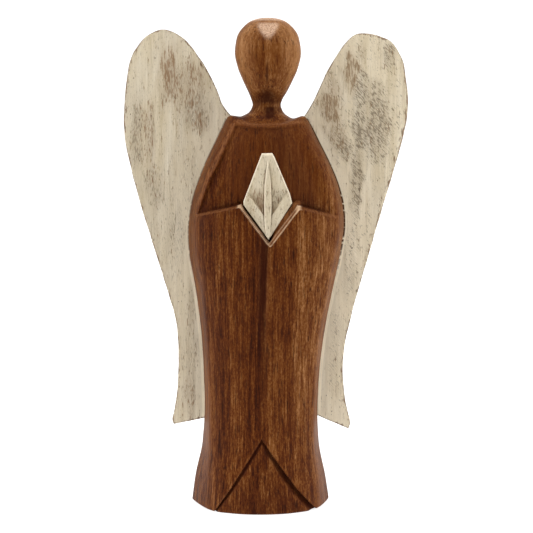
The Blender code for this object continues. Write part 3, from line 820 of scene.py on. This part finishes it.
def hands_height(x, z):
    """How far the hands stand forward of their rim at x and z, with their hollows, seams and lit edges."""
    across = x - STRIP_CENTRE
    half = np.interp(z, [164, 168, 176, 186, 198, 212.4], [0.3, 1.3, 2.0, 2.2, 1.9, 0.15])
    strip = smooth(0.25, -0.25, np.abs(across) - half)
    inwards = np.minimum(*(np.abs(line_distance(HANDS_POINT, end, x, z)) for end in (HANDS_LEFT, HANDS_RIGHT)))
    wrist = smooth(WRIST_WIDTH + 0.4, WRIST_WIDTH - 0.4, inwards) * smooth(195, 188, z)
    slope = np.clip(1 - np.abs(across) / 16.5, 0, 1)
    palm = 1.0 + 2.4 * slope * np.interp(z, [165, 188, 214], [0.5, 1.0, 0.35])
    heel = 1.2 + 2.3 * smooth(0.0, 4.5, inwards)
    hollow = (1 - strip) * (1 - wrist) * smooth(198, 188, z) * smooth(168, 174, z)
    height = palm * (1 - wrist) + np.maximum(heel, palm) * wrist - 1.5 * hollow
    ridge = np.interp(z, [164, 172, 188, 212.4, 217], [2.2, 3.8, 5.0, 2.2, 1.4])
    height = height * (1 - strip) + np.maximum(ridge, height + 0.5) * strip
    seam = bump(np.abs(across), half + 0.25, 0.35) * window(z, 168, 174, 209, 213)
    lit = bump(across, -half + 0.25, 0.38) * window(z, 168, 172, 210, 213)
    lit = lit + 0.4 * bump(across, half - 0.25, 0.35) * window(z, 176, 182, 208, 213)
    return height - 0.45 * seam, hollow, np.clip(seam, 0, 1), np.clip(lit, 0, 1)


def make_hands():
    """The hands' insert: rings of points from its centre out to its edge, and a straight side behind them."""
    corners = np.array(HANDS_OUTLINE + HANDS_OUTLINE[:1], float)
    length = np.concatenate([[0], np.cumsum(np.linalg.norm(np.diff(corners, axis=0), axis=1))])
    even = np.linspace(0, length[-1], HANDS_SPOKES, endpoint=False)
    even = np.sort(np.concatenate([even, length[1:-1]]))
    edge = np.stack([np.interp(even, length, corners[:, i]) for i in range(2)], -1)
    share = np.linspace(0.02, 1, HANDS_RINGS)[:, None]
    x, z = np.moveaxis(np.array(HANDS_CENTRE) + (edge - np.array(HANDS_CENTRE)) * share[..., None], -1, 0)
    height, hollow, seam, lit = hands_height(x, z)
    height = height + 0.12 * rough(x / 1.3, z / 7, 41) + 0.12 * rough(x / 4, z / 5, 42)
    rim_round = 0.55 * (1 - np.sqrt(1 - np.clip((share - 0.955) / 0.045, 0, 1) ** 2))
    front = np.stack([x, HANDS_RIM - np.minimum(height, 6.2) + rim_round, z], -1)
    skirt = np.repeat(np.insert(edge, 1, 0, axis=1)[None], SKIRT_RINGS, axis=0)
    skirt[..., 1] = np.linspace(HANDS_SIDE, HANDS_BACK, SKIRT_RINGS + 1)[1:, None]
    points = np.concatenate([front, skirt]).reshape(-1, 3)
    # Painted highlight along the hands' upper rim; the lit mark is a painted highlight on the strip's edge.
    rim = smooth(0.925, 0.975, share) * smooth(184, 190, z)
    freckled = smooth(0.15, 0.6, rough(x / 2.5, z / 5, 43))
    # Painted shade: the hollow left of the strip and the seams are darkened brown and grey.
    brown = 0.10 + 0.85 * hollow * (x < STRIP_CENTRE) + 0.35 * seam + 0.2 * freckled * hollow
    on_front = {
        "grey": (0.12 + 0.45 * hollow + 0.8 * seam + 0.25 * freckled, 0.3),
        "brown": (brown, 0.1),
        "edge": (0.25 * seam, 0.2),
        "bead_and_light": (np.maximum(rim, lit), 0.3),
    }
    around = np.ones(SKIRT_RINGS * len(edge))
    marks = {mark: np.concatenate([values.ravel(), side * around]) for mark, (values, side) in on_front.items()}
    hands = mesh_object("hands_insert", points, tube_faces(HANDS_RINGS + SKIRT_RINGS, len(edge)), marks)
    finish_mesh(hands, sharp=50)
    return hands


# ---- the pegs


def make_peg(name, centre):
    """A turned peg with a sanded, slightly domed end and a few flats from the knife."""
    inner, outer = BACK_FACE - 12.0, WING_BACK - 0.2
    stops = [(0.0, 0.3), (0.0, PEG_RADIUS - 0.7), (0.5, PEG_RADIUS - 0.1)]
    stops += [(d, PEG_RADIUS) for d in np.linspace(1.5, outer - inner - 1.2, 14)]
    stops += [(outer - inner - 0.35, PEG_RADIUS - 0.12), (outer - inner - 0.08, PEG_RADIUS - 0.6)]
    stops += [(outer - inner, PEG_RADIUS - 2.0), (outer - inner, 0.3)]
    turns = np.linspace(0, 2 * math.pi, PEG_SIDES, endpoint=False)
    rows = []
    for depth, radius in stops:
        flats = 0.05 * rough(turns * 2.2, turns * 0 + depth / 8, 51) * min(1.0, radius / 3)
        r = radius - 0.05 + flats
        x, z = centre[0] + r * np.cos(turns), centre[1] + r * np.sin(turns)
        rows.append(np.stack([x, turns * 0 + inner + depth, z], -1))
    peg = mesh_object(name, np.concatenate(rows), tube_faces(len(rows), PEG_SIDES))
    finish_mesh(peg)
    return peg


# ---- materials


class Shader:
    """A new node material, with short calls for the nodes that the woods are made of."""

    def __init__(self, name):
        self.material = bpy.data.materials.new(name)
        self.material.use_nodes = True
        self.tree = self.material.node_tree
        self.surface = self.tree.nodes["Principled BSDF"]
        self.place = self.node("ShaderNodeTexCoord").outputs["Object"]

    def node(self, kind, values=None, **settings):
        made = self.tree.nodes.new(kind)
        for key, value in settings.items():
            setattr(made, key, value)
        for key, value in (values or {}).items():
            self.put(made.inputs[key], value)
        return made

    def put(self, socket, value):
        if isinstance(value, bpy.types.NodeSocket):
            self.tree.links.new(value, socket)
        else:
            socket.default_value = value

    def mapped(self, scale, turn=(0, 0, 0), shift=(0, 0, 0)):
        """The place on the piece, in metres: turned, then stretched by a scale."""
        turned = self.node("ShaderNodeMapping", {"Vector": self.place, "Rotation": turn}).outputs["Vector"]
        return self.node("ShaderNodeMapping", {"Vector": turned, "Scale": scale, "Location": shift}).outputs["Vector"]

    def noise(self, scale, vector, detail=3.0, roughness=0.6, distortion=0.0):
        values = {"Vector": vector, "Scale": scale, "Detail": detail, "Roughness": roughness}
        return self.node("ShaderNodeTexNoise", {**values, "Distortion": distortion}).outputs["Fac"]

    def grain(self, scale, along, shift=(0, 0, 0), detail=3.0, roughness=0.6, distortion=0.0, turn=(0, 0, 0)):
        """Noise drawn out along Z: the smaller its share along, the longer its streaks."""
        return self.noise(scale, self.mapped((1, 1, along), turn, shift), detail, roughness, distortion)

    def math(self, operation, first, second):
        return self.node("ShaderNodeMath", {0: first, 1: second}, operation=operation).outputs[0]

    def times(self, first, second):
        return self.math("MULTIPLY", first, second)

    def total(self, *parts):
        """The sum of values, each times its share."""
        made = self.times(*parts[0])
        for value, share in parts[1:]:
            made = self.math("ADD", made, self.times(value, share))
        return made

    def step(self, value, low, high, to_low=0.0, to_high=1.0):
        values = {"Value": value, "From Min": low, "From Max": high, "To Min": to_low, "To Max": to_high}
        return self.node("ShaderNodeMapRange", values, interpolation_type="SMOOTHSTEP").outputs["Result"]

    def mark(self, name):
        return self.node("ShaderNodeAttribute", attribute_name=name).outputs["Fac"]

    def mix(self, share, first, second, blend="MIX"):
        made = self.node("ShaderNodeMix", data_type="RGBA", blend_type=blend)
        for index, value in ((0, share), (6, first), (7, second)):
            if isinstance(value, tuple) and len(value) == 3:
                value = (*value, 1.0)
            self.put(made.inputs[index], value)
        return made.outputs[2]

    def over(self, under, colour, where, share):
        """A colour laid over another where a value says, at most by a share."""
        return self.mix(self.times(where, share), under, colour)

    def ramp(self, value, stops):
        made = self.node("ShaderNodeValToRGB", {"Fac": value})
        elements = made.color_ramp.elements
        while len(elements) < len(stops):
            elements.new(0.5)
        for element, (place, colour) in zip(elements, stops):
            element.position = place
            element.color = (*colour, 1.0)
        return made.outputs["Color"]

    def bump(self, height, strength, distance, below=None):
        values = {"Height": height, "Strength": strength, "Distance": distance}
        if below is not None:
            values["Normal"] = below
        return self.node("ShaderNodeBump", values).outputs["Normal"]

    def finish(self, colour, roughness, normal, ior=1.5, specular=0.5):
        values = {"Base Color": colour, "Roughness": roughness, "Normal": normal}
        values.update({"IOR": ior, "Specular IOR Level": specular})
        for key, value in values.items():
            self.put(self.surface.inputs[key], value)
        return self.material


def stained_wood():
    """Reddish-brown stain on straight-grained open-pored wood, rubbed paler on its edges and waxed, with painted
    shade in its hollows and painted light, sheen and highlights.
    """
    s = Shader("stained_wood")
    broad = s.grain(70, 0.030, detail=2, roughness=0.5, distortion=0.4)
    stripes = s.grain(300, 0.018, (0.3, 0.1, 0), detail=2, distortion=0.2)
    streaks = s.grain(1000, 0.022, roughness=0.7)
    flecks = s.grain(1150, 0.45, (0, 0.5, 0), roughness=0.75)
    mottle = s.grain(260, 0.30, roughness=0.7)
    figure = s.total((broad, 0.55), (stripes, 0.60), (streaks, 1.00), (flecks, 0.80), (mottle, 0.40))
    figure = s.times(s.math("SUBTRACT", figure, 1.675), s.step(s.mark("calm"), 0.0, 1.0, 1.0, 0.42))
    # Paler wood where the stain is thinner and where light is painted on.
    tone = s.math("ADD", s.math("ADD", figure, 0.49), s.times(s.mark("pale_stain_and_light"), 0.30))
    colour = s.ramp(
        tone,
        [
            (0.20, (0.030, 0.0056, 0.0010)),
            (0.36, (0.066, 0.0138, 0.0022)),
            (0.50, (0.106, 0.0270, 0.0042)),
            (0.65, (0.172, 0.0570, 0.0120)),
            (0.82, (0.290, 0.1240, 0.0420)),
            (1.00, (0.430, 0.2150, 0.0900)),
        ],
    )
    pore = s.step(s.grain(1150, 0.085, (0.7, 0, 0), detail=1.5, roughness=0.5), 0.62, 0.70)
    colour = s.over(colour, (0.022, 0.0050, 0.0012), pore, 0.70)
    # Paler edges: partly wear, partly painted sheen.
    wear_and_sheen = s.times(s.mark("wear_and_sheen"), s.step(streaks, 0.36, 0.62, 0.22, 1.0))
    colour = s.over(colour, (0.250, 0.096, 0.034), wear_and_sheen, 0.85)
    # Painted shade in hollows, grooves and under the chin, with some real stain.
    painted_shade_and_stain = s.mark("painted_shade_and_stain")
    colour = s.over(colour, (0.027, 0.0036, 0.0009), painted_shade_and_stain, 0.85)
    dab = s.step(s.noise(420, s.place, roughness=0.5), 0.3, 0.55, 0.55, 1.0)
    colour = s.over(colour, (0.66, 0.44, 0.27), s.mark("paint"), dab)
    # A painted highlight on the forehead facet and the crown, partly rubbed-off stain.
    speckle = s.step(s.noise(1500, s.place, detail=2, roughness=0.5), 0.30, 0.62, 0.25, 1.0)
    colour = s.over(colour, (0.70, 0.47, 0.325), s.mark("polish_and_highlight"), speckle)
    roughness = s.math("ADD", s.step(flecks, 0.3, 0.7, 0.40, 0.50), s.times(painted_shade_and_stain, 0.3))
    relief = s.bump(s.math("SUBTRACT", 1.0, pore), 0.5, 0.0003, s.bump(streaks, 0.30, 0.0005))
    return s.finish(colour, roughness, relief, ior=1.22, specular=0.25)


def whitewash(name, place, brown_tone, lean=0, joint_shadow=0.0, paleness=1.0, scratched=0.74):
    """Cream wash over wood, rubbed through in patches and along the edges, with fine streaks down the grain, painted
    light and highlights, and painted shade.

    The place shifts the streaks, so that no two pieces are alike. The rasp's strokes lean by lean, in degrees,
    and scratched is how dark they are. The line where a wing meets the body gets a painted shadow, as dark as the
    argument after lean says.
    """
    s = Shader(name)
    hairs = s.grain(1150, 0.05, (place, 0, 0), roughness=0.65)
    soft = s.grain(170, 0.10, (place, 0, 0))
    cloud = s.grain(45, 0.6, (place, 0, 0))
    grit = s.grain(1500, 0.5, detail=2)
    fine = s.grain(1600, 0.16, (place, 0, 0), detail=2, roughness=0.65)
    coarse = s.grain(480, 0.22, (place, 3, 0), detail=2)
    rasp = s.grain(1350, 0.24, (place, 2, 0), detail=2, turn=(0, math.radians(lean), 0))
    bead_and_light, brown, grey, edge = (s.mark(mark) for mark in ("bead_and_light", "brown", "grey", "edge"))
    creams = [(0.30, (0.545, 0.455, 0.305)), (0.50, (0.635, 0.545, 0.390)), (0.72, (0.715, 0.635, 0.490))]
    cream = s.ramp(soft, creams)
    cream = s.mix(s.step(cloud, 0.42, 0.66, 0.0, 0.45), cream, (0.60, 0.53, 0.415))
    cream = s.mix(s.step(hairs, 0.54, 0.72, 0.0, 0.38), cream, (0.36, 0.28, 0.185))
    cream = s.mix(s.step(hairs, 0.44, 0.28, 0.0, 0.40), cream, (0.80, 0.73, 0.60))
    cream = s.mix(s.step(grit, 0.56, 0.72, 0.0, 0.35), cream, (0.38, 0.30, 0.20))
    cream = s.mix(1.0, cream, (paleness, paleness, paleness), "MULTIPLY")
    # Where this mark is high: a bead of thick wash, painted light beside the body on the wings, and painted
    # highlights on the hands.
    cream = s.over(cream, (0.93, 0.82, 0.62), bead_and_light, 0.9)

    rubbed = s.total((fine, 0.65), (coarse, 0.35))
    rasped = s.total((rasp, 0.78), (coarse, 0.22))
    uneven = s.math("SUBTRACT", s.step(cloud, 0.35, 0.65, 0.0, 0.18), s.times(bead_and_light, 0.8))
    strokes = s.math("ADD", rasped, s.times(s.math("ADD", grey, uneven), 0.115))
    rubbed_through = s.math("ADD", rubbed, s.times(brown, 0.14))
    worn_edge = s.math("ADD", rubbed, s.times(edge, 0.34))
    specks = s.step(s.grain(800, 0.5, (place, 7, 0), detail=1, roughness=0.5), 0.755, 0.775)
    colour = s.over(cream, (0.40, 0.335, 0.245), grey, 0.858 - 0.7 * scratched)
    colour = s.over(colour, (0.170, 0.130, 0.084), s.step(strokes, 0.58, 0.70), scratched)
    colour = s.over(colour, (0.39, 0.275, 0.160), brown, 0.42)
    colour = s.over(colour, brown_tone, s.step(rubbed_through, 0.575, 0.69), 0.74)
    colour = s.over(colour, (0.08, 0.045, 0.025), specks, 0.8)
    colour = s.over(colour, (0.165, 0.088, 0.043), s.step(worn_edge, 0.64, 0.78), 0.88)
    # The same bead, painted light and painted highlights, paler still.
    colour = s.mix(s.step(bead_and_light, 0.5, 1.0, 0.0, 0.78), colour, (0.86, 0.75, 0.58))

    height = s.node("ShaderNodeSeparateXYZ", {0: s.place}).outputs["Z"]
    gap = s.times(s.math("SUBTRACT", s.mark("joint"), 0.5), JOINT_RANGE)
    lit = s.times(s.step(gap, -0.2, 0.3), s.step(gap, 2.4, 1.6, 0.0, 1.0))
    lit = s.times(lit, s.step(height, 0.150, 0.190, math.sqrt(joint_shadow), 0.0))
    colour = s.over(colour, (1.0, 0.88, 0.66), lit, s.step(coarse, 0.35, 0.55, 0.45, 1.0))
    # Painted shadow: a dark notched line on the wing along the body's edge, in the gap between wing and body.
    notches = s.noise(330, s.mapped((0, 0, 1), shift=(place, 0, 0)), detail=1, roughness=0.5)
    notches = s.math("ADD", notches, s.step(height, 0.165, 0.205, 0.0, 0.13 * joint_shadow))
    upper = s.times(s.step(height, 0.135, 0.165, 0.0, joint_shadow), s.step(notches, 0.40, 0.50))
    beside = s.times(s.step(gap, 0.6, 1.2, 1.0, 0.0), s.step(gap, -3.0, -1.0))
    colour = s.over(colour, (0.060, 0.019, 0.004), beside, upper)

    scratches = s.math("ADD", s.times(rasped, grey), s.times(rubbed, brown))
    relief = s.bump(scratches, 0.9, 0.0009, s.bump(hairs, 0.35, 0.0004))
    return s.finish(colour, s.step(rubbed, 0.3, 0.7, 0.62, 0.78), relief, ior=1.42, specular=0.25)


def peg_wood():
    """End grain with rings and pores, lightly oiled."""
    s = Shader("peg_wood")
    wave = {"Vector": s.place, "Scale": 160.0, "Distortion": 4.0, "Detail": 2.0}
    rings = s.node("ShaderNodeTexWave", wave, bands_direction="DIAGONAL").outputs["Fac"]
    grain = s.noise(1300, s.mapped((1, 0.05, 1)))
    colour = s.ramp(
        s.total((rings, 0.35), (grain, 0.65)),
        [(0.25, (0.12, 0.052, 0.022)), (0.5, (0.26, 0.135, 0.062)), (0.8, (0.40, 0.235, 0.12))],
    )
    pore = s.step(s.noise(2600, s.mapped((1, 0.1, 1)), detail=1, roughness=0.5), 0.62, 0.7)
    colour = s.over(colour, (0.05, 0.02, 0.009), pore, 0.6)
    return s.finish(colour, s.step(grain, 0.3, 0.7, 0.5, 0.7), s.bump(grain, 0.4, 0.0003))


# ---- stage, light and camera


SWEEP_FRONT = -2200.0
SWEEP_BACK = 1600.0
SWEEP_RADIUS = 600.0
SWEEP_TOP = 3000.0
SWEEP_HALF_WIDTH = 3000.0
SWEEP_DROP = 0.15


def make_stage():
    """A plain white sweep: a floor just below the figure that curves up into a wall behind."""
    turns = np.linspace(0, math.pi / 2, 13)
    curve = [(SWEEP_BACK + SWEEP_RADIUS * math.sin(t), SWEEP_RADIUS * (1 - math.cos(t))) for t in turns]
    profile = [(SWEEP_FRONT, 0.0), *curve, (SWEEP_BACK + SWEEP_RADIUS, SWEEP_TOP)]
    points = [(side * SWEEP_HALF_WIDTH, y, z - SWEEP_DROP) for y, z in profile for side in (-1, 1)]
    sweep = mesh_object("sweep", points, sheet_faces(len(profile), 2))
    sweep.data.shade_smooth()
    white = Shader("sweep_white")
    depth = white.node("ShaderNodeSeparateXYZ", {0: white.place}).outputs["Y"]
    white.put(white.surface.inputs["Base Color"], (0.62, 0.62, 0.62, 1))
    white.put(white.surface.inputs["Roughness"], 0.9)
    white.put(white.surface.inputs["Emission Color"], (1, 1, 1, 1))
    white.put(white.surface.inputs["Emission Strength"], white.step(depth, -0.7, -0.05, 0.05, 0.75))
    sweep.data.materials.append(white.material)


def add_light(name, place, target, size, power):
    """A rectangular softbox at a place, turned to a target. Lengths are in metres, and the power in watts."""
    data = bpy.data.lights.new(name, "AREA")
    data.shape = "RECTANGLE"
    data.size, data.size_y = size
    data.energy = power
    light = bpy.data.objects.new(name, data)
    light.location = place
    light.rotation_euler = (Vector(target) - Vector(place)).to_track_quat("-Z", "Y").to_euler()
    bpy.context.scene.collection.objects.link(light)


def make_light():
    """Two tall softboxes at the sides and one above, in a white tent that is open towards the front."""
    middle = (0, 0, 0.16)
    add_light("left_box", (-1.05, -0.45, 0.45), middle, (0.8, 1.0), 5.2)
    add_light("right_box", (1.05, -0.45, 0.45), middle, (0.8, 1.0), 4.8)
    add_light("top_box", (0.0, -0.42, 1.0), (0, 0, 0.28), (0.45, 0.25), 3.6)
    world = bpy.data.worlds.new("studio")
    bpy.context.scene.world = world
    world.use_nodes = True
    nodes, links = world.node_tree.nodes, world.node_tree.links
    direction = nodes.new("ShaderNodeSeparateXYZ")
    links.new(nodes.new("ShaderNodeTexCoord").outputs["Generated"], direction.inputs[0])
    tent = nodes.new("ShaderNodeMapRange")
    tent.interpolation_type = "SMOOTHSTEP"
    links.new(direction.outputs["Y"], tent.inputs["Value"])
    for key, value in {"From Min": -1.0, "From Max": 0.0, "To Min": 0.02, "To Max": 0.8}.items():
        tent.inputs[key].default_value = value
    links.new(tent.outputs["Result"], nodes["Background"].inputs["Strength"])
    nodes["Background"].inputs["Color"].default_value = (1, 1, 1, 1)
    bpy.context.scene.view_settings.view_transform = "Standard"


CAMERA_PLACE = (0.0, -0.62, CAMERA_HEIGHT * MM)
CAMERA_DOWN = math.radians(2.97)
CAMERA_LENS = 67.48


def make_camera():
    """A camera in front of the figure, a little above its middle and tipped slightly down."""
    data = bpy.data.cameras.new("camera")
    data.lens = CAMERA_LENS
    data.sensor_width = 36.0
    data.clip_start = 0.01
    camera = bpy.data.objects.new("camera", data)
    camera.location = CAMERA_PLACE
    camera.rotation_euler = (math.pi / 2 - CAMERA_DOWN, 0, 0)
    bpy.context.scene.collection.objects.link(camera)
    bpy.context.scene.camera = camera


def place_piece(piece, material, node):
    """Gives a piece its material, and lets it stand for its CAD node."""
    piece.data.materials.clear()
    piece.data.materials.append(material)
    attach(piece, "root")
    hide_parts(node)


def left_worn(x, z):
    """How much further than elsewhere the left wing's edge is worn, in millimetres, at each point."""
    shoulder = window(x, -60, -52, -42, -34) * smooth(258, 268, z)
    return 2.2 * shoulder + 0.9 * smooth(-80, -86, x) * window(z, 215, 232, 262, 272)


def right_worn(x, z):
    """The same for the right wing."""
    outer = smooth(60, 70, x) * window(z, 165, 190, 262, 276)
    return 1.5 * outer + 1.3 * window(x, 58, 63, 74, 78) * smooth(284, 290, z)


def left_round(x, z):
    """The radius of the left wing's rounded edge at each point of its outline."""
    return 1.0 + 0.2 * left_worn(x, z)


def right_round(x, z):
    """The same for the right wing."""
    return 1.0 + 0.8 * right_worn(x, z)


def main():
    make_camera()
    make_stage()
    make_light()
    place_piece(make_block(), stained_wood(), "body")
    left = make_wing("left_wing_board", LEFT_WING, LEFT_PATCHES, 61, left_round, left_worn)
    right = make_wing("right_wing_board", RIGHT_WING, RIGHT_PATCHES, 81, right_round, right_worn)
    pegs = {name: make_peg(name.replace("peg", "wooden_peg"), centre) for name, centre in PEGS.items()}
    for wing, side in ((left, "left"), (right, "right")):
        centres = [PEGS[name] for name in PEGS if side in name]
        drill(wing, centres, PEG_RADIUS + PEG_GAP, WING_FRONT - 3, WING_BACK + 3)
    left_wash = whitewash("whitewash_left", 0.0, (0.255, 0.142, 0.066), 0, 0.6, paleness=1.03, scratched=0.56)
    right_wash = whitewash("whitewash_right", 0.4, (0.270, 0.170, 0.085), RIGHT_WING["lean"], 1.0, paleness=1.12)
    hands_wash = whitewash("whitewash_hands", 0.8, (0.270, 0.150, 0.078), paleness=1.02)
    place_piece(left, left_wash, "left_wing")
    place_piece(right, right_wash, "right_wing")
    place_piece(make_hands(), hands_wash, "praying_hands")
    turned = peg_wood()
    for name, peg in pegs.items():
        place_piece(peg, turned, name)


main()
